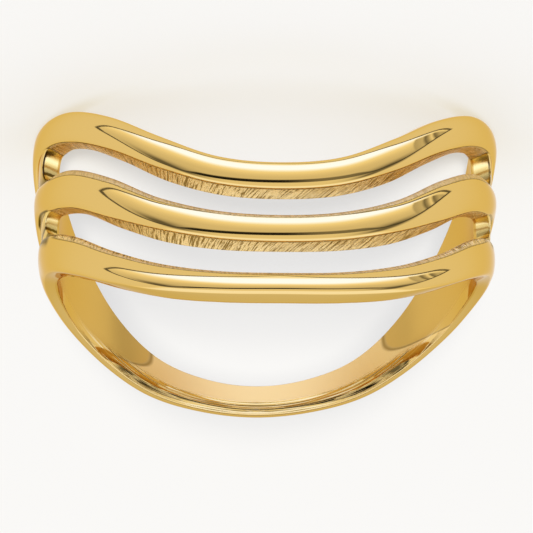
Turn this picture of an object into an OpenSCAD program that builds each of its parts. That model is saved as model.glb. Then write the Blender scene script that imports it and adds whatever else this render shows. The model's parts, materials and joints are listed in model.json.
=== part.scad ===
// Thumb ring: one cast band with three wave bars on its front and a narrow back.
// Sizes are in mm. The ring lies on its side as it comes to rest there, on its two
// shoulders. The front of the bars faces -Y, and the narrow shank at +Y stands up a little.

/* [Finger hole] */

// Diameter of the finger hole
bore_d = 19; // [14:0.1:24]

// Chamfer that eases the hole's two rims
rim_ease = 0.1; // [0.05:0.01:0.3]

/* [Band] */

// Wall height of the bars above the finger hole
bar_height = 1.1; // [0.8:0.05:2]

// Wall height of the shank opposite the bars
shank_height = 0.92; // [0.5:0.02:1.5]

// Wall height where the rounded rims start
rim_height = 0.3; // [0.1:0.02:0.6]

// Roundness of the band's rims at the front, higher is squarer
front_round = 5; // [2:0.1:8]

// How much thicker the shoulders are at bar one's edge, and thinner at the other
shoulder_flare = 0.2; // [0:0.01:0.3]

// Roundness of the shank's section, higher is squarer
shank_round = 2.4; // [2:0.1:4]

/* [Bars] */

// How far a bar's face falls from its crown to its lips
lip_fall = 0.26; // [0.05:0.01:0.5]

// Angle from the front's middle to the ends of the two slots
slot_end = 80; // [40:0.5:82]

// How much further the slots reach round at the finger hole
slot_lean = 5; // [0:0.5:15]

// Angle over which a slot's end rounds from its sides to its tip
slot_bow = 7; // [0:0.5:9]

// Angle at which the creases behind the slots have run out into the shank
crease_end = 122; // [95:1:140]

/* [Rest] */

// Turn about X that lets the ring lie on its two shoulders
rest_turn = 7.29; // [-45:0.01:45]

// Lift that puts the lowest point on the floor
rest_lift = 6.677; // [0:0.001:12]

// Shift along Y that centres the ring over the origin
rest_shift = 0.48; // [-5:0.001:5]

/* [Output] */

// Node to build

/* [Hidden] */

gold = [0.86, 0.69, 0.36];
bore_r = bore_d / 2;

// Sections round half the band, the other half mirrors them. The first column is the angle
// from the front's middle. The next six are heights there, from the band's upper edge down:
// upper edge, slot one's top and bottom, slot two's top and bottom, lower edge. The last is
// how far the slots' walls drop on their way in to the finger hole.
sections = [
    [0, 1.05, -0.33, -1.55, -2.85, -4.24, -5.38, 0.10],
    [15, 1.48, 0.05, -1.22, -2.57, -4.03, -5.22, 0.17],
    [30, 2.92, 1.27, -0.14, -1.68, -3.25, -4.63, 0.31],
    [45, 4.64, 2.95, 1.60, -0.36, -1.89, -3.54, 0.28],
    [60, 5.90, 4.33, 2.97, 1.10, -0.26, -2.20, 0.14],
    [75, 6.40, 5.18, 3.58, 2.08, 0.94, -1.02, 0.10],
    [90, 6.46, 5.30, 4.06, 2.78, 1.52, -0.33, 0.04],
    [105, 5.11, 3.92, 2.92, 1.83, 0.85, -0.24, 0.00],
    [120, 3.22, 2.38, 1.60, 0.80, 0.02, -0.76, 0.00],
    [135, 1.16, 0.60, 0.05, -0.48, -1.00, -1.52, 0.00],
    [150, -0.36, -0.74, -1.12, -1.50, -1.88, -2.26, 0.00],
    [165, -1.06, -1.37, -1.68, -1.99, -2.29, -2.60, 0.00],
    [180, -1.30, -1.59, -1.88, -2.16, -2.45, -2.74, 0.00]
];
upper = 1;
lower = 6;
drop = 7;
edge_count = lower - upper + 1;

// Angles between which the wall thins from the bars to the shank, and its rims turn rounder
thin_start = 85;
thin_end = 155;
soft_end = 135;

// Angles between which the shoulders' extra thickness comes in, and goes out again
flare_in = [20, 80];
flare_out = [100, 150];

// Angle over which the lean of a slot's end dies away
lean_reach = 28;

// Columns over which the round of a slot's end dies away, along the slot and behind it
bow_front = 4;
bow_back = 6;

// The wall is built this far into the finger hole, which is then bored out
shelf_depth = 0.4;
rim_slope = rim_ease + shelf_depth;
bore_reach = 15;

// Columns round half the band
front_steps = 16;
web_steps = 8;
back_steps = 16;
shoulder = 90;
half = front_steps + web_steps + back_steps;
count = 2 * half;

// Rows across the band: three bars and the two slots or webs between them are five strips,
// each with its own places between 1 at its upper edge and -1 at its lower one
strips = 5;
steps = 6;
bar_rows = [for (k = [0 : steps]) cos(180 * k / steps)];
web_rows = [0.83, 0.45, 0, -0.45, -0.83];
rows = [
    for (strip = [0 : strips - 1])
        for (s = is_bar(strip) ? bar_rows : web_rows)
            [strip, s]
];
row_count = len(rows);

function is_bar(strip) = strip % 2 == 0;

function angle_at(i) = sections[i][0];

function span(t, i = 0) = i + 2 >= len(sections) || t < angle_at(i + 1) ? i : span(t, i + 1);

function slope(column, i) =
    i == 0 || i == len(sections) - 1
        ? 0
        : (sections[i + 1][column] - sections[i - 1][column]) / (angle_at(i + 1) - angle_at(i - 1));

// Value of a column at an angle, on a smooth curve through the sections
function curve(column, t) =
    let (
        i = span(t),
        h = angle_at(i + 1) - angle_at(i),
        u = (t - angle_at(i)) / h,
        p = slope(column, i) * h,
        q = slope(column, i + 1) * h
    )
    sections[i][column] * (1 + 2 * u) * (1 - u) * (1 - u)
    + p * u * (1 - u) * (1 - u)
    + sections[i + 1][column] * u * u * (3 - 2 * u)
    - q * u * u * (1 - u);

function edge(m, t) = curve(upper + m, t);

// Height of one of the slots' edges where the wall is built into the finger hole
function inner_edge(m, t) = edge(m, t) - curve(drop, t) * (bar_height + shelf_depth) / bar_height;

function ramp(t, a, b) =
    let (u = min(1, max(0, (t - a) / (b - a))))
    u * u * (3 - 2 * u);

function mix(a, b, u) = a + (b - a) * u;

function dome(s, p) = pow(max(0, 1 - pow(abs(s), p)), 1 / p);

function column(k) =
    let (n = abs(k))
    n <= front_steps
        ? n * slot_end / front_steps
        : n <= front_steps + web_steps
            ? mix(slot_end, shoulder, (n - front_steps) / web_steps)
            : mix(shoulder, 180, (n - front_steps - web_steps) / back_steps);

// Height of the band's skin above the finger hole, seen as one domed band
function skin(a, across) =
    let (
        top = mix(bar_height, shank_height, ramp(a, thin_start, thin_end)),
        p = mix(front_round, shank_round, ramp(a, shoulder, soft_end)),
        thick = ramp(a, flare_in[0], flare_in[1]) * (1 - ramp(a, flare_out[0], flare_out[1]))
    )
    rim_height + (top - rim_height) * dome(across, p) + shoulder_flare * thick * across;

function fade(a) = 1 - ramp(a, shoulder, crease_end);

// A bar's face falls to its lips on the sides that have a slot or a crease beside them
function bar_skin(a, strip, s, across) =
    let (
        open = strip == 0 ? s < 0 : strip == strips - 1 ? s > 0 : true
    )
    skin(a, across) - (open ? lip_fall * fade(a) * (1 - sqrt(max(0, 1 - s * s))) : 0);

// The slots' ends are round: their sides stop short of the tip, and this dies away behind it
function bow(k, s) =
    let (
        n = abs(k) - front_steps,
        w = max(0, n < 0 ? 1 + n / bow_front : 1 - n / bow_back)
    )
    -slot_bow * w * (1 - sqrt(max(0, 1 - s * s)));

// The slots' ends lean back towards the finger hole
function lean(a) =
    let (u = min(1, abs(a - slot_end) / lean_reach))
    slot_lean * pow(1 - u * u, 2);

function place(a, sign, high, out) = [
    sign * (bore_r + out) * sin(a),
    -(bore_r + out) * cos(a),
    -high
];

// A bar's points keep their own angle, and only those on a slot's edge bow with its end
function outer_point(k, j) =
    let (
        strip = rows[j][0],
        s = rows[j][1],
        first_edge = strip == 0 && s > 0,
        last_edge = strip == strips - 1 && s < 0,
        at_slot = !is_bar(strip) || abs(s) == 1 && !first_edge && !last_edge,
        a = column(k) + (at_slot ? bow(k, s) : 0),
        high = mix(edge(strip + 1, a), edge(strip, a), (1 + s) / 2),
        first = edge(0, a),
        last = edge(edge_count - 1, a),
        across = (2 * high - first - last) / (first - last)
    )
    place(a, k < 0 ? -1 : 1, high, bar_skin(a, strip, s, across));

function inner_point(k, m) =
    let (
        rim = m == 0 ? -1 : m == edge_count - 1 ? 1 : 0,
        b = column(k) + bow(k, rim == 0 ? 1 : 0),
        a = b + lean(b),
        high = rim == 0 ? inner_edge(m, a) : edge(m, a) + rim * rim_slope
    )
    place(a, k < 0 ? -1 : 1, high, -shelf_depth);

function tip_point(side, strip, s) =
    let (
        b = slot_end + bow(front_steps, s),
        a = b + lean(b)
    )
    place(a, side, mix(inner_edge(strip + 1, a), inner_edge(strip, a), (1 + s) / 2), -shelf_depth);

function wrap(i) = (i + count) % count;

outer_points = [
    for (i = [0 : count - 1])
        for (j = [0 : row_count - 1])
            outer_point(i - half + 1, j)
];
inner_points = [
    for (i = [0 : count - 1])
        for (m = [0 : edge_count - 1])
            inner_point(i - half + 1, m)
];
tip_points = [
    for (side = [-1, 1])
        for (strip = [1, 3])
            for (s = web_rows)
                tip_point(side, strip, s)
];

inner_start = count * row_count;
tip_start = inner_start + count * edge_count;
left_end = half - 1 - front_steps;
right_end = half - 1 + front_steps;

function outer_id(i, j) = wrap(i) * row_count + j;

function inner_id(i, m) = inner_start + wrap(i) * edge_count + m;

// The chain of points on the inner edge of a slot's end, from one bar to the next
function chain(i, strip) =
    let (
        at = tip_start + ((i == right_end ? 2 : 0) + (strip == 3 ? 1 : 0)) * len(web_rows)
    )
    concat([inner_id(i, strip)], [for (t = [0 : len(web_rows) - 1]) at + t], [inner_id(i, strip + 1)]);

function quad(a, b, c, d) = [[a, b, c], [a, c, d]];

function is_open(i, strip) = !is_bar(strip) && i >= left_end && i < right_end;

outer_faces = [
    for (i = [0 : count - 1])
        for (strip = [0 : strips - 1])
            if (!is_open(i, strip))
                for (j = [strip * steps : strip * steps + steps - 1])
                    each quad(
                        outer_id(i, j),
                        outer_id(i, j + 1),
                        outer_id(i + 1, j + 1),
                        outer_id(i + 1, j)
                    )
];

rim_faces = [
    for (i = [0 : count - 1])
        each concat(
            quad(outer_id(i, 0), outer_id(i + 1, 0), inner_id(i + 1, 0), inner_id(i, 0)),
            quad(
                outer_id(i + 1, row_count - 1),
                outer_id(i, row_count - 1),
                inner_id(i, edge_count - 1),
                inner_id(i + 1, edge_count - 1)
            )
        )
];

slot_faces = [
    for (i = [left_end : right_end - 1])
        for (strip = [1, 3])
            let (
                j = strip * steps,
                n = j + steps
            )
            each concat(
                quad(outer_id(i + 1, j), outer_id(i, j), inner_id(i, strip), inner_id(i + 1, strip)),
                quad(
                    outer_id(i, n),
                    outer_id(i + 1, n),
                    inner_id(i + 1, strip + 1),
                    inner_id(i, strip + 1)
                )
            )
];

end_faces = [
    for (strip = [1, 3])
        let (
            j = strip * steps,
            left = chain(left_end, strip),
            right = chain(right_end, strip)
        )
        for (t = [0 : steps - 1])
            each concat(
                quad(outer_id(left_end, j + t), outer_id(left_end, j + t + 1), left[t + 1], left[t]),
                quad(outer_id(right_end, j + t + 1), outer_id(right_end, j + t), right[t], right[t + 1]),
                [[inner_id(left_end - 1, strip), left[t], left[t + 1]]],
                [[inner_id(right_end + 1, strip), right[t + 1], right[t]]]
            )
];

close_faces = [
    for (strip = [1, 3])
        let (
            left = left_end - 1,
            right = right_end + 1,
            n = strip + 1
        )
        each [
            [inner_id(left, strip), inner_id(left_end, n), inner_id(left, n)],
            [inner_id(right, strip), inner_id(right, n), inner_id(right_end, n)]
        ]
];

inner_faces = [
    for (i = [0 : count - 1])
        for (strip = [0 : strips - 1])
            if (!is_open(i, strip) && !(!is_bar(strip) && (i == left_end - 1 || i == right_end)))
                each quad(
                    inner_id(i, strip),
                    inner_id(i + 1, strip),
                    inner_id(i + 1, strip + 1),
                    inner_id(i, strip + 1)
                )
];

module band() {
    polyhedron(
        points = concat(outer_points, inner_points, tip_points),
        faces = concat(outer_faces, rim_faces, slot_faces, end_faces, close_faces, inner_faces),
        convexity = 10
    );
}

module ring() {
    color(gold)
        translate([0, rest_shift, rest_lift])
            rotate([rest_turn, 0, 0])
                difference() {
                    band();
                    translate([0, 0, -bore_reach])
                        cylinder(h = 2 * bore_reach, r = bore_r, $fn = 180);
                }
}

ring();
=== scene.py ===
"""A cast gold thumb ring with three wave bars, lying on its side on a pale studio floor."""

import json
import math
from types import SimpleNamespace

import bmesh
import bpy
from mathutils import Euler, Matrix, Vector


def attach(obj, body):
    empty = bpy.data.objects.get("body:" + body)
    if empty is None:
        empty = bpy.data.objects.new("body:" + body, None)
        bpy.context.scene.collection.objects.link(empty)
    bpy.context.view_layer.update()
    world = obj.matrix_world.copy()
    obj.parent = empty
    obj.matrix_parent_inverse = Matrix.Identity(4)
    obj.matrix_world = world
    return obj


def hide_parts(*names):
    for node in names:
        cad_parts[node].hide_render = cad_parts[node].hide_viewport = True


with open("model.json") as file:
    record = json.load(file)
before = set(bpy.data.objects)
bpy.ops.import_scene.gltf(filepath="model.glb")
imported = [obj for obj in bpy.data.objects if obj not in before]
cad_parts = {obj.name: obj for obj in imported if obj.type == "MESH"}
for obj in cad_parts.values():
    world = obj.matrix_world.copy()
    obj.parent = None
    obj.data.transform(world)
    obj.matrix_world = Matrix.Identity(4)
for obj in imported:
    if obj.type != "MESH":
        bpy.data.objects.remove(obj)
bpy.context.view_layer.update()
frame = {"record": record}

MM = 0.001

# How the ring lies: its own frame has the finger hole's axis along Z and the bars towards -Y
REST_TURN = 7.29
REST_LIFT = 6.677
REST_SHIFT = 0.48

# Radius of the finger hole, and heights of the band above it, in mm
BORE_R = frame["record"]["mounts"][0]["dims"]["r_mm"]
BAR_HEIGHT = 1.1
SHANK_HEIGHT = 0.92
RIM_HEIGHT = 0.3
SHOULDER_FLARE = 0.2
LIP_FALL = 0.26
LAST_BAR_LEAN = 0.13

# Rounded edges in mm, and where across the shank its inner round starts
RIM_ROUND = 0.1
SLOT_EDGE = 0.05
INNER_ROUND = 0.14
INNER_ROUND_START = 0.3

# Roundness of the band's section at the bars, the shoulders and the shank, higher is squarer
FACE_ROUND = 16
SHOULDER_ROUND = 5
SHANK_ROUND = 2.4

# Angles from the front's middle in degrees, and how far the slots' ends lean, bow and reach
SLOT_END = 80
SLOT_LEAN = 5
SLOT_BOW = 7
LEAN_REACH = 28
FACE_END = 60
SHOULDER = 90
CREASE_END = 122
SOFT_END = 135
THINNING = (85, 155)
FLARE_IN = (20, 80)
FLARE_OUT = (100, 150)
CAST_LIP_END = (62, 80)

# Sections round half the band: angle, upper edge, slot one's top and bottom, slot two's top
# and bottom, lower edge, and how far the slots' walls drop on their way in to the finger hole
SECTIONS = [
    [0, 1.05, -0.33, -1.55, -2.85, -4.24, -5.38, 0.10],
    [15, 1.48, 0.05, -1.22, -2.57, -4.03, -5.22, 0.17],
    [30, 2.92, 1.27, -0.14, -1.68, -3.25, -4.63, 0.31],
    [45, 4.64, 2.95, 1.60, -0.36, -1.89, -3.54, 0.28],
    [60, 5.90, 4.33, 2.97, 1.10, -0.26, -2.20, 0.14],
    [75, 6.40, 5.18, 3.58, 2.08, 0.94, -1.02, 0.10],
    [90, 6.46, 5.30, 4.06, 2.78, 1.52, -0.33, 0.04],
    [105, 5.11, 3.92, 2.92, 1.83, 0.85, -0.24, 0.00],
    [120, 3.22, 2.38, 1.60, 0.80, 0.02, -0.76, 0.00],
    [135, 1.16, 0.60, 0.05, -0.48, -1.00, -1.52, 0.00],
    [150, -0.36, -0.74, -1.12, -1.50, -1.88, -2.26, 0.00],
    [165, -1.06, -1.37, -1.68, -1.99, -2.29, -2.60, 0.00],
    [180, -1.30, -1.59, -1.88, -2.16, -2.45, -2.74, 0.00],
]
UPPER = 0
LOWER = 5
DROP = 6

# Columns of the mesh round half the band, and over how many of them the slots' bow dies away
FRONT_STEPS = 48
WEB_STEPS = 12
BACK_STEPS = 34
BOW_FRONT = 14
BOW_BACK = 9

# Rows of the mesh: three bars and the two slots between them are five strips
STRIPS = 5
STEPS = 10
ROWS = STRIPS * STEPS
CAST_LIP_STRIPS = (2, 4)
CAST_LIP_ROWS = 2

# Rows between the band's two sides, parts of a rounded edge, and the seam's merging distance in mm
WALL_CUTS = 5
RIM_SEGMENTS = 4
SLOT_EDGE_SEGMENTS = 2
SEAM = 1e-4


def ramp(t, a, b):
    u = min(1, max(0, (t - a) / (b - a)))
    return u * u * (3 - 2 * u)


def mix(a, b, u):
    return a + (b - a) * u


def dome(s, power):
    return max(0, 1 - abs(s) ** power) ** (1 / power)


def is_bar(strip):
    return strip % 2 == 0


def edge(m, t):
    """Height of one of the band's six edges at an angle, on a smooth curve through the sections."""
    t = abs(t)
    i = max(k for k in range(len(SECTIONS) - 1) if SECTIONS[k][0] <= t)

    def slope(k):
        if k == 0 or k == len(SECTIONS) - 1:
            return 0
        return (SECTIONS[k + 1][m + 1] - SECTIONS[k - 1][m + 1]) / (SECTIONS[k + 1][0] - SECTIONS[k - 1][0])

    h = SECTIONS[i + 1][0] - SECTIONS[i][0]
    u = (t - SECTIONS[i][0]) / h
    start = SECTIONS[i][m + 1] * (1 + 2 * u) * (1 - u) ** 2 + slope(i) * h * u * (1 - u) ** 2
    end = SECTIONS[i + 1][m + 1] * u * u * (3 - 2 * u) - slope(i + 1) * h * u * u * (1 - u)
    return start + end


def skin(a, across):
    """Height of the band above the finger hole, seen as one domed band."""
    top = mix(BAR_HEIGHT, SHANK_HEIGHT, ramp(a, *THINNING))
    power = mix(FACE_ROUND, SHOULDER_ROUND, ramp(a, FACE_END, SHOULDER))
    power = mix(power, SHANK_ROUND, ramp(a, SHOULDER, SOFT_END))
    thick = ramp(a, *FLARE_IN) * (1 - ramp(a, *FLARE_OUT))
    return RIM_HEIGHT + (top - RIM_HEIGHT) * dome(across, power) + SHOULDER_FLARE * thick * across


def bar_fall(a, strip, s):
    """A bar's face falls to its lips, at the band's rims only along the front."""
    rounded = 1 - math.sqrt(max(0, 1 - s * s)) if is_bar(strip) else 1
    at_rim = strip == 0 and s > 0 or strip == STRIPS - 1 and s < 0
    fade = ramp(a, FACE_END, SHOULDER) if at_rim else ramp(a, SHOULDER, CREASE_END)
    lean_up = LAST_BAR_LEAN * s * (1 - ramp(a, FACE_END, SHOULDER)) if strip == STRIPS - 1 else 0
    return LIP_FALL * (1 - fade) * rounded + lean_up


def bow(n, s):
    """The slots' ends are round: their sides stop short of the tip."""
    w = max(0, 1 + n / BOW_FRONT if n < 0 else 1 - n / BOW_BACK)
    return -SLOT_BOW * w * (1 - math.sqrt(max(0, 1 - s * s)))


def lean(a):
    """The slots' ends lean back towards the finger hole."""
    u = min(1, abs(a - SLOT_END) / LEAN_REACH)
    return SLOT_LEAN * (1 - u * u) ** 2


def inner_round(a, across):
    """The shank's lower edge is rounded off on the finger's side."""
    u = max(0, (-across - INNER_ROUND_START) / (1 - INNER_ROUND_START))
    return INNER_ROUND * u * u * ramp(a, SHOULDER, CREASE_END)


def half_columns():
    """Angles of the columns, from the front's middle to the back's."""
    front = [SLOT_END * i / FRONT_STEPS for i in range(FRONT_STEPS)]
    web = [mix(SLOT_END, SHOULDER, i / WEB_STEPS) for i in range(WEB_STEPS)]
    back = [mix(SHOULDER, 180, i / BACK_STEPS) for i in range(BACK_STEPS + 1)]
    return front + web + back


HALF = half_columns()
HALF_COUNT = len(HALF) - 1
COLUMNS = 2 * HALF_COUNT


def row_place(j):
    """A row's strip, and its place there from 1 at the strip's upper edge to -1 at its lower one."""
    strip = min(j // STEPS, STRIPS - 1)
    return strip, math.cos(math.pi * (j - strip * STEPS) / STEPS)


def height(j, a):
    """Height of a row of the band at an angle."""
    strip, s = row_place(j)
    return mix(edge(strip + 1, a), edge(strip, a), (1 + s) / 2)


def drop_share(strip, s):
    """The slots' walls drop on their way in to the finger hole, and the band's rims don't."""
    if strip == 0:
        return (1 - s) / 2
    if strip == STRIPS - 1:
        return (1 + s) / 2
    return 1


def spot(i, j, inside=False):
    """Place of a column and row of the band, on its outside or in the finger hole."""
    k = i - HALF_COUNT
    strip, s = row_place(j)
    on_slot_edge = j % STEPS == 0 and 0 < j < ROWS
    a = HALF[abs(k)]
    if on_slot_edge or not is_bar(strip):
        a += bow(abs(k) - FRONT_STEPS, s)
    if inside:
        a += lean(a)
    high = height(j, a)
    if inside:
        high -= edge(DROP, a) * drop_share(strip, s)
    first = edge(UPPER, a)
    last = edge(LOWER, a)
    across = (2 * high - first - last) / (first - last)
    out = inner_round(a, across) if inside else skin(a, across) - bar_fall(a, strip, s)
    turn = math.radians(a if k > 0 else -a)
    radius = BORE_R + out
    return Vector((radius * math.sin(turn), -radius * math.cos(turn), -high))


def rolled_sheet(bm):
    """The band's outside: a flat sheet is cut at the slots, and rolled up."""
    bmesh.ops.create_grid(bm, x_segments=COLUMNS, y_segments=ROWS, size=0.5)
    col = bm.verts.layers.int.new("column")
    row = bm.verts.layers.int.new("row")
    for v in bm.verts:
        v[col] = round((v.co.x + 0.5) * COLUMNS)
        v[row] = round((v.co.y + 0.5) * ROWS)
    gaps = []
    for f in bm.faces:
        strip = min(v[row] for v in f.verts) // STEPS
        left = min(v[col] for v in f.verts) - HALF_COUNT
        if not is_bar(strip) and -FRONT_STEPS <= left < FRONT_STEPS:
            gaps.append(f)
    bmesh.ops.delete(bm, geom=gaps, context="FACES")
    for v in bm.verts:
        v.co = spot(v[col], v[row])
    bmesh.ops.remove_doubles(bm, verts=bm.verts, dist=SEAM)
    return col, row


def mark_outside(bm, col, row):
    """Each point keeps its place across the band, and bars two and three have upper lips left as cast."""
    cast = bm.verts.layers.float.new("cast")
    across = bm.verts.layers.float.new("across")
    for v in bm.verts:
        strip, _ = row_place(v[row])
        at_lip = strip in CAST_LIP_STRIPS and v[row] - strip * STEPS <= CAST_LIP_ROWS
        a = HALF[abs(v[col] - HALF_COUNT)]
        top = edge(UPPER, a)
        v[cast] = 1 - ramp(a, *CAST_LIP_END) if at_lip else 0
        v[across] = (top - height(v[row], a)) / (top - edge(LOWER, a))
    return cast


def crosses(part, inside):
    """Whether a face or an edge lies in the wall, from the outside to the finger hole."""
    return 0 < sum(v in inside for v in part.verts) < len(part.verts)


def on_rim(part, row):
    """Whether a face or an edge lies along the band's upper or lower rim."""
    return all(v[row] in (0, ROWS) for v in part.verts)


def band():
    """The band as one closed mesh: an outside, the finger hole's side, and walls between them."""
    bm = bmesh.new()
    col, row = rolled_sheet(bm)
    cast = mark_outside(bm, col, row)
    wall = bm.faces.layers.int.new("wall")
    extruded = bmesh.ops.extrude_face_region(bm, geom=bm.faces, use_keep_orig=True)
    inside = {g for g in extruded["geom"] if isinstance(g, bmesh.types.BMVert)}
    for v in inside:
        v.co = spot(v[col], v[row], True)
        v[cast] = 0
    for f in bm.faces:
        at_end = all(abs(v[col] - HALF_COUNT) >= FRONT_STEPS for v in f.verts)
        f[wall] = crosses(f, inside) and not on_rim(f, row) and not at_end
    wall_edges = [e for e in bm.edges if crosses(e, inside)]
    hole_edges = [
        e
        for e in bm.edges
        if all(v in inside for v in e.verts) and any(crosses(f, inside) for f in e.link_faces)
    ]
    rims = [e for e in hole_edges if on_rim(e, row)]
    slots = [e for e in hole_edges if not on_rim(e, row)]
    bmesh.ops.subdivide_edges(bm, edges=wall_edges, cuts=WALL_CUTS, use_grid_fill=True)
    bmesh.ops.recalc_face_normals(bm, faces=bm.faces)
    for edges, size, segments in ((slots, SLOT_EDGE, SLOT_EDGE_SEGMENTS), (rims, RIM_ROUND, RIM_SEGMENTS)):
        bmesh.ops.bevel(
            bm,
            geom=edges,
            offset=size,
            offset_type="OFFSET",
            segments=segments,
            profile=0.5,
            affect="EDGES",
            material=-1,
        )
    for f in bm.faces:
        if f[wall]:
            for v in f.verts:
                v[cast] = 1 if all(g[wall] for g in v.link_faces) else max(v[cast], 0.5)
    return bm


def laid(name, bm):
    """The finished piece, turned to how the ring lies and brought to metres."""
    rest = Matrix.Translation((0, REST_SHIFT, REST_LIFT)) @ Matrix.Rotation(math.radians(REST_TURN), 4, "X")
    bmesh.ops.transform(bm, matrix=Matrix.Scale(MM, 4) @ rest, verts=bm.verts)
    mesh = bpy.data.meshes.new(name)
    bm.to_mesh(mesh)
    bm.free()
    mesh.shade_smooth()
    piece = bpy.data.objects.new(name, mesh)
    bpy.context.scene.collection.objects.link(piece)
    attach(piece, "root")
    return piece


class Signal:
    """A number or colour in a shader. Arithmetic on it adds Math nodes to its tree."""

    def __init__(self, tree, socket):
        self.tree = tree
        self.socket = socket

    def maths(self, operation, *values):
        node = self.tree.nodes.new("ShaderNodeMath")
        node.operation = operation
        for value, socket in zip(values, node.inputs):
            wire(value, socket)
        return Signal(self.tree, node.outputs[0])

    def __add__(self, other):
        return self.maths("ADD", self, other)

    def __sub__(self, other):
        return self.maths("SUBTRACT", self, other)

    def __rsub__(self, other):
        return self.maths("SUBTRACT", other, self)

    def __mul__(self, other):
        return self.maths("MULTIPLY", self, other)

    def __truediv__(self, other):
        return self.maths("DIVIDE", self, other)

    def __pow__(self, other):
        return self.maths("POWER", self, other)

    def __abs__(self):
        return self.maths("ABSOLUTE", self)

    def at_least(self, other):
        return self.maths("MAXIMUM", self, other)

    def at_most(self, other):
        return self.maths("MINIMUM", self, other)

    def step(self, low, high):
        """A soft step from 0 at low to 1 at high."""
        node = self.tree.nodes.new("ShaderNodeMapRange")
        node.interpolation_type = "SMOOTHSTEP"
        wire(self, node.inputs["Value"])
        wire(low, node.inputs["From Min"])
        wire(high, node.inputs["From Max"])
        return Signal(self.tree, node.outputs["Result"])

    def window(self, start, end):
        """1 between two soft steps, and 0 outside them."""
        return self.step(*start) * self.step(*end)


def wire(value, socket):
    """A socket takes a signal, or a plain number or colour."""
    if isinstance(value, Signal):
        value.tree.links.new(value.socket, socket)
    else:
        socket.default_value = value


def blend(share, a, b):
    """Number a where share is 0, and b where it is 1."""
    node = share.tree.nodes.new("ShaderNodeMix")
    wire(share, node.inputs[0])
    wire(a, node.inputs[2])
    wire(b, node.inputs[3])
    return Signal(share.tree, node.outputs[0])


def shade(share, a, b):
    """Colour a where share is 0, and b where it is 1."""
    node = share.tree.nodes.new("ShaderNodeMix")
    node.data_type = "RGBA"
    wire(share, node.inputs["Factor"])
    wire(a, node.inputs["A"])
    wire(b, node.inputs["B"])
    return Signal(share.tree, node.outputs["Result"])


def tones(value, stops):
    """A number that runs through (place, tone) stops."""
    node = value.tree.nodes.new("ShaderNodeValToRGB")
    top = max(tone for _, tone in stops)
    line = node.color_ramp
    while len(line.elements) < len(stops):
        line.elements.new(1.0)
    for element, (place, _) in zip(line.elements, stops):
        element.position = place
    for element, (_, tone) in zip(line.elements, stops):
        element.color = (tone / top, tone / top, tone / top, 1)
    wire(value, node.inputs[0])
    return Signal(value.tree, node.outputs[0]) * top


def noise(place, scale, detail, roughness):
    tree = place[0].tree
    joined = tree.nodes.new("ShaderNodeCombineXYZ")
    for value, socket in zip(place, joined.inputs):
        wire(value, socket)
    node = tree.nodes.new("ShaderNodeTexNoise")
    node.inputs["Scale"].default_value = scale
    node.inputs["Detail"].default_value = detail
    node.inputs["Roughness"].default_value = roughness
    tree.links.new(joined.outputs[0], node.inputs["Vector"])
    return Signal(tree, node.outputs["Fac"])


def attribute(tree, name):
    node = tree.nodes.new("ShaderNodeAttribute")
    node.attribute_name = name
    return Signal(tree, node.outputs["Fac"])


def ring_place(tree):
    """Where a point is on the ring: arc, height and distance from its axis in mm, and share across."""
    at = tree.nodes.new("ShaderNodeTexCoord").outputs["Object"]
    lowered = tree.nodes.new("ShaderNodeVectorMath")
    lowered.operation = "MULTIPLY_ADD"
    tree.links.new(at, lowered.inputs[0])
    lowered.inputs[1].default_value = (1 / MM, 1 / MM, 1 / MM)
    lowered.inputs[2].default_value = (0, -REST_SHIFT, -REST_LIFT)
    turned = tree.nodes.new("ShaderNodeMapping")
    turned.vector_type = "VECTOR"
    turned.inputs["Rotation"].default_value = (-math.radians(REST_TURN), 0, 0)
    tree.links.new(lowered.outputs[0], turned.inputs["Vector"])
    parts = tree.nodes.new("ShaderNodeSeparateXYZ")
    tree.links.new(turned.outputs[0], parts.inputs[0])
    x, y, z = (Signal(tree, socket) for socket in parts.outputs)
    arc = x.maths("ARCTAN2", x, y * -1.0) * BORE_R
    return SimpleNamespace(
        arc=arc,
        from_front=abs(arc),
        high=z,
        radius=x.maths("SQRT", x * x + y * y),
        across=attribute(tree, "across"),
    )


# The gold's colours, in linear light: polished outside, darker in the finger hole as painted shade,
# a painted pale reflection at its back edged by a painted dark curve, beside the shank's rim with
# painted reflected lines, painted reflection bands on the slots' ends, and on the cast walls and
# lips with painted shade in their grooves
GOLD = (0.76, 0.515, 0.165, 1)
SHADED_HOLE_GOLD = (0.68, 0.425, 0.105, 1)
PALE_REFLECTION_GOLD = (0.9, 0.63, 0.25, 1)
DARK_CURVE_GOLD = (0.3, 0.17, 0.03, 1)
RIM_GOLD = (0.8, 0.55, 0.17, 1)
SHINE_GOLD = (1, 0.9, 0.62, 1)
END_BRIGHT = (0.96, 0.74, 0.29, 1)
END_DARK = (0.06, 0.03, 0.01, 1)
CAST_GOLD = (0.95, 0.69, 0.3, 1)
LIP_GOLD = (0.76, 0.52, 0.19, 1)
GROOVE_SHADE_GOLD = (0.3, 0.18, 0.05, 1)
LINE_GOLD = (0.16, 0.09, 0.02, 1)
GLANCING_TINT = (0.86, 0.7, 0.42, 1)

NOISE_MIDDLE = 0.5

# How rough each finish is
POLISHED_ROUGH = 0.05
SATIN_ROUGH = 0.3
END_ROUGH = 0.25
LIP_ROUGH = 0.5
CAST_ROUGH = 0.14
SPECK_ROUGH = 0.2

# The cast walls: ribs along the slots' walls, specks, where a frayed mask turns from polished to
# cast, the dark border there, and the radius in mm at which the lips start
RIBS_ACROSS = 15.0
RIBS_ALONG = 2.4
RIB_SLANT = 0.5
RIB_NOISE = (1.0, 3.0, 0.65)
SPECK_NOISE = (18.0, 2.0, 0.6)
FRAY = 0.4
CAST_EDGE = (0.45, 0.6)
BORDER_START = (0.3, 0.42)
BORDER_END = (0.62, 0.5)
BORDER_SHARE = 0.7
LIP_RADIUS = (10.28, 10.36)
GROOVE_EDGE = (0.5, 0.43)
LIP_GROOVES = 0.35
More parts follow.
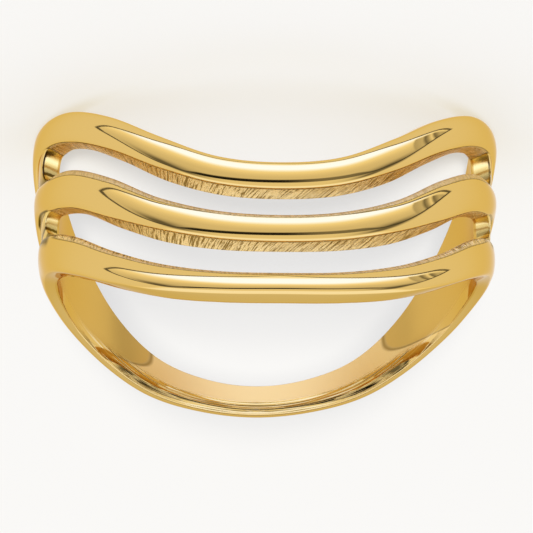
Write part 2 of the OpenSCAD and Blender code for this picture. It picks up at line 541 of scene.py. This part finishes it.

# The finger hole, in mm of radius and of arc from the front's middle. A painted reflection makes its
# back pale, edged by a painted dark curve. The pale back starts at a curve, which bends towards the
# front at the shank's lower rim, and which lies further round on the photograph's left
HOLE_RADIUS = (9.64, 9.62)
BACK_EDGE = (23.8, 24.0)
DARK_CURVE_END = (24.2, 24.0)
DARK_CURVE_SHARE = 0.8
BACK_SHIFT = 0.6
BACK_CURVE = 4.5
BACK_CURVE_POWER = 3.0

# The fine lines beside the shank's rim, painted dark and bright reflections, the dark ones with a slight
# bump too: where they start, in arc and across, and how they run
SHANK_START = (19.0, 21.5)
WIDER_FROM = (20.0, 25.0)
WIDER = 0.28
NEAR_RIM = (0.82, 0.95)
RIM_SHARE = 0.7
LINES_ALONG = 0.11
LINES_ACROSS = 11.0
LINE_NOISE = (1.6, 2.0, 0.6)
DARK_LINE_EDGE = (0.53, 0.58)
DARK_LINE_SHARE = 0.8
SHINE_EDGE = (0.45, 0.4)
SHINE_SHARE = 0.8

# The slots' ends: their arc, radius and share across, the painted dark line at their outer edge, and
# the painted reflection bands' (place, tone) stops over the height of a slot's end. Both slots have the
# same painted bands.
END_ARC_START = (12.2, 12.7)
END_ARC_END = (15.6, 15.2)
END_RADIUS_START = (9.6, 9.66)
END_RADIUS_END = (10.44, 10.38)
END_ACROSS_START = (0.12, 0.16)
END_ACROSS_END = (0.88, 0.84)
END_LINE_RADIUS = (10.34, 10.3)
END_MIDDLE_RADIUS = 10.0
SLOT_PITCH = 2.78
LOW_SLOT_FROM = 0.34
END_BAND_FROM = 0.9
END_BAND_SPAN = 1.7
END_BAND_FRAY = 0.16
END_BAND_SLANT = 0.2
END_BAND_TONES = (
    (0.2, 0.15),
    (0.26, 0.9),
    (0.4, 0.9),
    (0.43, 0.03),
    (0.52, 0.03),
    (0.54, 0.5),
    (0.65, 0.75),
    (0.79, 1.0),
    (0.85, 1.0),
    (0.875, 0.1),
    (0.9, 0.1),
    (0.92, 0.55),
)
RIGHT_SIDE = (0.0, -1.0)
RIGHT_TONE = 0.35

# Relief of the bump, in mm, and the shares of the specks and of the painted dark lines in it
RELIEF_DEPTH = 0.06
SPECK_RELIEF = 0.3
DARK_LINE_RELIEF = -0.35


def cast_walls(at):
    """The slots' walls and lips, left as cast, with ribs across them, painted shade in the ribs' grooves,
    and a dark border.
    """
    slant = at.radius * RIB_SLANT + at.arc
    ribs = noise((slant * RIBS_ACROSS, at.high * RIBS_ALONG, at.radius), *RIB_NOISE)
    speck = noise((at.arc, at.high, at.radius), *SPECK_NOISE)
    frayed = (speck - NOISE_MIDDLE) * FRAY + attribute(speck.tree, "cast")
    cast = frayed.step(*CAST_EDGE)
    lip = cast * at.radius.step(*LIP_RADIUS)
    # Painted shade: the ribs' grooves are darker.
    grooves = cast * ribs.step(*GROOVE_EDGE)
    return SimpleNamespace(
        ribs=ribs,
        speck=speck,
        cast=cast,
        lip=lip,
        border=frayed.window(BORDER_START, BORDER_END),
        grooves=grooves * blend(lip, 1.0, LIP_GROOVES),
    )


def finger_hole(at):
    """The satin finger hole darkened by painted shade, its back paled by a painted reflection with a
    painted dark curve, and the polished strip beside the shank's rim with painted reflected lines.
    """
    # The finger hole is rougher, and its gold is darker as painted shade.
    bore = at.radius.step(*HOLE_RADIUS)
    uneven = at.arc.maths("SIGN", at.arc) * -BACK_SHIFT + at.from_front
    reach = at.across**BACK_CURVE_POWER * BACK_CURVE + uneven
    # Painted reflection: the back of the finger hole is pale, and a painted dark curve edges it.
    back = bore * reach.step(*BACK_EDGE)
    widened = at.from_front.step(*WIDER_FROM) * WIDER + at.across
    near_rim = widened.step(*NEAR_RIM)
    beside_rim = near_rim * (bore * at.from_front.step(*SHANK_START))
    lines = noise((at.from_front * LINES_ALONG, at.across * LINES_ACROSS, 0.0), *LINE_NOISE)
    return SimpleNamespace(
        bore=bore,
        back=back,
        painted_dark_curve=back * reach.step(*DARK_CURVE_END),
        satin=bore * near_rim.step(1.0, 0.0),
        beside_rim=beside_rim,
        # Painted reflections: dark and bright lines beside the shank's rim; the dark ones also dent the
        # bump.
        painted_dark_lines=lines.step(*DARK_LINE_EDGE) * beside_rim,
        shine=lines.step(*SHINE_EDGE) * beside_rim,
    )


def slot_ends(at, speck):
    """The slots' round ends, with painted bright and dark reflection bands, softer on the photograph's
    right.
    """
    in_arc = at.from_front.window(END_ARC_START, END_ARC_END)
    in_wall = at.radius.window(END_RADIUS_START, END_RADIUS_END)
    in_slot = at.across.window(END_ACROSS_START, END_ACROSS_END)
    lifted = (speck - NOISE_MIDDLE) * END_BAND_FRAY + at.high * -1.0
    lifted = (at.radius - END_MIDDLE_RADIUS) * END_BAND_SLANT + lifted
    level = lifted.maths("WRAP", lifted, LOW_SLOT_FROM + SLOT_PITCH, LOW_SLOT_FROM)
    # Painted reflection: bright and dark bands over the height of each slot's end.
    reflection_bands = tones((level - END_BAND_FROM) / END_BAND_SPAN, END_BAND_TONES)
    reflection_bands = reflection_bands * at.radius.step(*END_LINE_RADIUS)
    reflection_bands = reflection_bands.at_least(at.arc.step(*RIGHT_SIDE) * RIGHT_TONE)
    return SimpleNamespace(mask=in_arc * in_wall * in_slot, reflection_bands=reflection_bands)


def polished_gold():
    """Mirror polished outside, softer in the finger hole, and left as cast in the slots."""
    material = bpy.data.materials.new("gold")
    material.use_nodes = True
    tree = material.node_tree
    shader = tree.nodes["Principled BSDF"]
    shader.inputs["Metallic"].default_value = 1
    shader.inputs["Specular Tint"].default_value = GLANCING_TINT
    at = ring_place(tree)
    walls = cast_walls(at)
    hole = finger_hole(at)
    ends = slot_ends(at, walls.speck)

    rough = blend(hole.satin, POLISHED_ROUGH, SATIN_ROUGH)
    rough = blend(ends.mask, rough, END_ROUGH)
    cast_rough = blend(walls.lip, walls.speck * SPECK_ROUGH + CAST_ROUGH, LIP_ROUGH)
    wire(blend(walls.cast, rough, cast_rough), shader.inputs["Roughness"])

    relief = (walls.speck * SPECK_RELIEF + walls.ribs) * walls.cast
    bump = tree.nodes.new("ShaderNodeBump")
    bump.inputs["Strength"].default_value = 1
    bump.inputs["Distance"].default_value = RELIEF_DEPTH * MM
    wire(hole.painted_dark_lines * DARK_LINE_RELIEF + relief, bump.inputs["Height"])
    tree.links.new(bump.outputs["Normal"], shader.inputs["Normal"])

    colour = GOLD
    for share, over in (
        # Painted shade in the finger hole, then a painted pale reflection at its back and its painted dark
        # curve
        (hole.bore, SHADED_HOLE_GOLD),
        (hole.back, PALE_REFLECTION_GOLD),
        (hole.painted_dark_curve * DARK_CURVE_SHARE, DARK_CURVE_GOLD),
        # Beside the shank's rim the painted shade and pale reflection give way mostly to plain gold, with
        # painted bright reflected lines
        (hole.beside_rim * RIM_SHARE, RIM_GOLD),
        (hole.shine * SHINE_SHARE, SHINE_GOLD),
        # Painted reflection bands on the slots' ends
        (ends.mask, shade(ends.reflection_bands, END_DARK, END_BRIGHT)),
        (walls.cast, shade(walls.lip, CAST_GOLD, LIP_GOLD)),
        # Painted shade in the ribs' grooves
        (walls.grooves, GROOVE_SHADE_GOLD),
        (walls.border * BORDER_SHARE, LINE_GOLD),
        # Painted dark reflected lines beside the shank's rim
        (hole.painted_dark_lines * DARK_LINE_SHARE, LINE_GOLD),
    ):
        colour = shade(share, colour, over)
    wire(colour, shader.inputs["Base Color"])
    return material


# The photograph's view, in degrees and in metres from the ring, and the range that the camera
# sees. It is upside down, because the ring lies on the side that is up in the photograph.
AZIMUTH = 3.67
ELEVATION = 16.73
ROLL = 179.41
DISTANCE = 0.2
NEAREST = 0.01
FARTHEST = 20

# The photograph's frame in pixels, with the middle of the view in it and the focal length
FRAME_PX = 533
MIDDLE_X_PX = 266.7
MIDDLE_Y_PX = 279.5
FOCAL_PX = 4384
SENSOR_MM = 36


def view_turn():
    """Turn from the world to the photograph's view."""
    turn = Euler((math.radians(90 - ELEVATION), 0, math.radians(AZIMUTH)), "XYZ").to_matrix()
    return turn @ Matrix.Rotation(math.radians(ROLL), 3, "Z")


def set_camera():
    """The photograph's angle to the ring."""
    camera = bpy.data.cameras.new("camera")
    camera.sensor_width = SENSOR_MM
    camera.lens = SENSOR_MM * FOCAL_PX / FRAME_PX
    camera.shift_x = (FRAME_PX / 2 - MIDDLE_X_PX) / FRAME_PX
    camera.shift_y = (MIDDLE_Y_PX - FRAME_PX / 2) / FRAME_PX
    camera.clip_start = NEAREST
    camera.clip_end = FARTHEST
    holder = bpy.data.objects.new("camera", camera)
    target = Vector((0, REST_SHIFT, REST_LIFT)) * MM
    back = view_turn() @ Vector((0, 0, 1))
    holder.matrix_world = Matrix.Translation(target + back * DISTANCE) @ view_turn().to_4x4()
    bpy.context.scene.collection.objects.link(holder)
    bpy.context.scene.camera = holder


# The floor's reach in metres, its pale paper and the glow that keeps it even
FLOOR_REACH = 2
PAPER = (0.3, 0.29, 0.262, 1)
PAPER_GLOW = (1, 0.955, 0.82, 1)
GLOW_STRENGTH = 0.4


def set_floor():
    bm = bmesh.new()
    bmesh.ops.create_grid(bm, x_segments=1, y_segments=1, size=FLOOR_REACH)
    mesh = bpy.data.meshes.new("floor")
    bm.to_mesh(mesh)
    bm.free()
    floor = bpy.data.objects.new("floor", mesh)
    material = bpy.data.materials.new("floor")
    material.use_nodes = True
    shader = material.node_tree.nodes["Principled BSDF"]
    shader.inputs["Base Color"].default_value = PAPER
    shader.inputs["Roughness"].default_value = 1
    shader.inputs["Specular IOR Level"].default_value = 0
    shader.inputs["Emission Color"].default_value = PAPER_GLOW
    shader.inputs["Emission Strength"].default_value = GLOW_STRENGTH
    mesh.materials.append(material)
    bpy.context.scene.collection.objects.link(floor)
    floor.visible_glossy = False
    floor.visible_shadow = False


# The studio is drawn as a mirror ball in the photograph's view would show it, from -1 to 1 across
# and up. The light panel there has a middle, a half width, a roof that falls to both sides and
# curves down at its tips, and a base that sags to both sides and rises at its corners.
PANEL_MIDDLE = 0.04
PANEL_SIDE = (0.745, 0.735)
ROOF_TOP = 0.81
ROOF_SLOPE = 0.56
ROOF_TIP_FROM = 0.6
ROOF_TIP_CURVE = 4.0
ROOF_EDGE = (0.0, 0.01)
BASE_TOP = 0.085
BASE_TILT = 0.1
BASE_SAG = 0.3
BASE_CORNER_FROM = 0.49
BASE_CORNER_CURVE = 6.5
BASE_EDGE = (0.0, 0.02)

# (place, tone) stops of the panel upwards, and of the streaks that cross its low part on both sides
PANEL_TONES = (
    (0.0, 0.8),
    (0.3, 0.88),
    (0.36, 1.0),
    (0.41, 1.15),
    (0.44, 1.4),
    (0.48, 3),
    (0.52, 5),
    (0.66, 5),
    (0.72, 1.6),
)
STREAK_TONES = (
    (0.3, 1.0),
    (0.4, 0.85),
    (0.48, 0.5),
    (0.51, 0.2),
    (0.56, 0.2),
    (0.585, 0.6),
    (0.61, 1.0),
)
STREAK_SLANT = -0.35
LOW_PART = (0.3, 0.12)

# The notch of dark marks at the panel's right end, which stays clear of the roof
NOTCH_TILT = 1.9
NOTCH_FROM = 1.5
NOTCH_SCALE = 4.0
NOTCH_TONES = (
    (0.0, 0.2),
    (0.1, 0.6),
    (0.3, 0.75),
    (0.38, 0.2),
    (0.46, 0.5),
    (0.56, 1.2),
    (0.64, 0.2),
    (0.8, 0.7),
    (1.0, 0.5),
)
NOTCH_EDGE = (0.02, 0.1)
NOTCH_BELOW_ROOF = (0.035, 0.055)

# The dark strip along the panel's base: its top, low edge and tone in the middle and at the tips,
# and where it fades on the right and on the left
STRIP_TIP = (0.4, 0.54)
STRIP_TOP = (0.15, 0.07)
STRIP_LOW = (0.11, 0.045)
STRIP_DARK = 0.02
STRIP_FADED = 0.25
STRIP_TIP_TONE = 0.1
STRIP_FADE_RIGHT = (0.05, 0.3)
STRIP_FADE_LEFT = (-0.4, -0.55)

# The thin dark outline along the panel's roof and sides
OUTLINE_ROOF = (0.026, 0.02)
OUTLINE_SIDE = (0.715, 0.722)
OUTLINE_TONE = 0.12

# Below the panel: streaks on its flanks, a bright band in the middle, and the darker ground
FLANK_TOP = (-0.2, -0.02)
BAND_START = (-0.14, -0.26)
BAND_END = (-0.78, -0.7)
BAND_SIDE = (0.6, 0.5)
BAND_TONE = 2.0
GROUND_FROM = (-0.7, -0.8)
GROUND_TONE = 0.85

# Tones above the full one turn paler: powers for red, green and blue
FULL_TONE = 1.17
GLARE_POWERS = (0.12, 0.34, 1.0)


def mirror_ball(tree):
    """Where a mirror ball in the photograph's view shows a direction, across and up."""
    at = tree.nodes.new("ShaderNodeTexCoord").outputs["Generated"]
    turned = tree.nodes.new("ShaderNodeMapping")
    turned.vector_type = "VECTOR"
    turned.inputs["Rotation"].default_value = view_turn().inverted().to_euler("XYZ")
    tree.links.new(at, turned.inputs["Vector"])
    half = tree.nodes.new("ShaderNodeVectorMath")
    tree.links.new(turned.outputs[0], half.inputs[0])
    half.inputs[1].default_value = (0, 0, 1)
    unit = tree.nodes.new("ShaderNodeVectorMath")
    unit.operation = "NORMALIZE"
    tree.links.new(half.outputs[0], unit.inputs[0])
    parts = tree.nodes.new("ShaderNodeSeparateXYZ")
    tree.links.new(unit.outputs[0], parts.inputs[0])
    return Signal(tree, parts.outputs["X"]), Signal(tree, parts.outputs["Y"])


def panel_light(u, v, side, under_roof, rise, streaks, low_part):
    """The panel's own tones, with its streaks, notch, dark strip and outline."""
    bright = tones(v, PANEL_TONES) * blend(low_part, 1.0, streaks)
    notch = (u * NOTCH_TILT + v - NOTCH_FROM) * NOTCH_SCALE
    notched = notch.step(*NOTCH_EDGE) * under_roof.step(*NOTCH_BELOW_ROOF)
    bright = blend(notched, bright, tones(notch, NOTCH_TONES))
    fade = u.step(*STRIP_FADE_RIGHT).at_least(u.step(*STRIP_FADE_LEFT))
    at_tip = side.step(*STRIP_TIP)
    strip_tone = blend(at_tip, blend(fade, STRIP_DARK, STRIP_FADED), STRIP_TIP_TONE)
    above_strip = rise.step(blend(at_tip, *STRIP_LOW), blend(at_tip, *STRIP_TOP))
    lit = blend(above_strip, strip_tone, bright)
    outline = under_roof.step(*OUTLINE_ROOF).at_least(side.step(*OUTLINE_SIDE))
    return blend(outline, lit, OUTLINE_TONE)


def studio_tone(u, v):
    """The tone of the whole studio: the panel, and what lies round and below it."""
    side = abs(u - PANEL_MIDDLE)
    tip = (side - ROOF_TIP_FROM).at_least(0.0)
    roof = ROOF_TOP - side * ROOF_SLOPE - tip * tip * ROOF_TIP_CURVE
    corner = (side - BASE_CORNER_FROM).at_least(0.0)
    base = u * BASE_TILT + BASE_TOP - u * u * BASE_SAG + corner * corner * BASE_CORNER_CURVE
    under_roof = roof - v
    rise = v - base
    within = side.step(*PANEL_SIDE)
    panel = under_roof.step(*ROOF_EDGE) * within * rise.step(*BASE_EDGE)
    low_part = v.step(*LOW_PART)
    streaks = tones(v * STREAK_SLANT + side, STREAK_TONES)
    lit = panel_light(u, v, side, under_roof, rise, streaks, low_part)
    flank = within * (low_part * v.step(*FLANK_TOP))
    bright_band = v.window(BAND_START, BAND_END) * side.step(*BAND_SIDE)
    ground = blend(bright_band, blend(v.step(*GROUND_FROM), 1.0, GROUND_TONE), BAND_TONE)
    return blend(panel, blend(flank, ground, streaks), lit)


def set_studio():
    """A light tent with one large soft panel, whose lower edge ends in a dark strip."""
    world = bpy.data.worlds.new("studio")
    world.use_nodes = True
    tree = world.node_tree
    tone = studio_tone(*mirror_ball(tree))
    dim = tone.at_most(FULL_TONE)
    glare = (tone / FULL_TONE).at_least(1.0)
    joined = tree.nodes.new("ShaderNodeCombineColor")
    for power, socket in zip(GLARE_POWERS, joined.inputs):
        wire(dim * glare**power, socket)
    tree.links.new(joined.outputs[0], tree.nodes["Background"].inputs["Color"])
    bpy.context.scene.world = world
    bpy.context.scene.view_settings.view_transform = "Standard"


SUN_ENERGY = 9
SUN_ANGLE = 5
SUN_ELEVATION = 14.7


def set_sun():
    """A low sun from the viewer's side, whose soft shadow falls behind the ring."""
    sun = bpy.data.lights.new("low sun", "SUN")
    sun.energy = SUN_ENERGY
    sun.angle = math.radians(SUN_ANGLE)
    azimuth = math.radians(AZIMUTH)
    elevation = math.radians(SUN_ELEVATION)
    flat = math.cos(elevation)
    out = Vector((math.sin(azimuth) * flat, -math.cos(azimuth) * flat, math.sin(elevation)))
    holder = bpy.data.objects.new("low sun", sun)
    holder.matrix_world = out.to_track_quat("Z", "Y").to_matrix().to_4x4()
    holder.visible_camera = False
    holder.visible_glossy = False
    bpy.context.scene.collection.objects.link(holder)


set_camera()
set_floor()
set_studio()
set_sun()
ring = laid("ring_band", band())
ring.data.materials.append(polished_gold())
smooth = ring.modifiers.new("smooth", "SUBSURF")
smooth.levels = 1
smooth.render_levels = 1
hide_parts("ring")
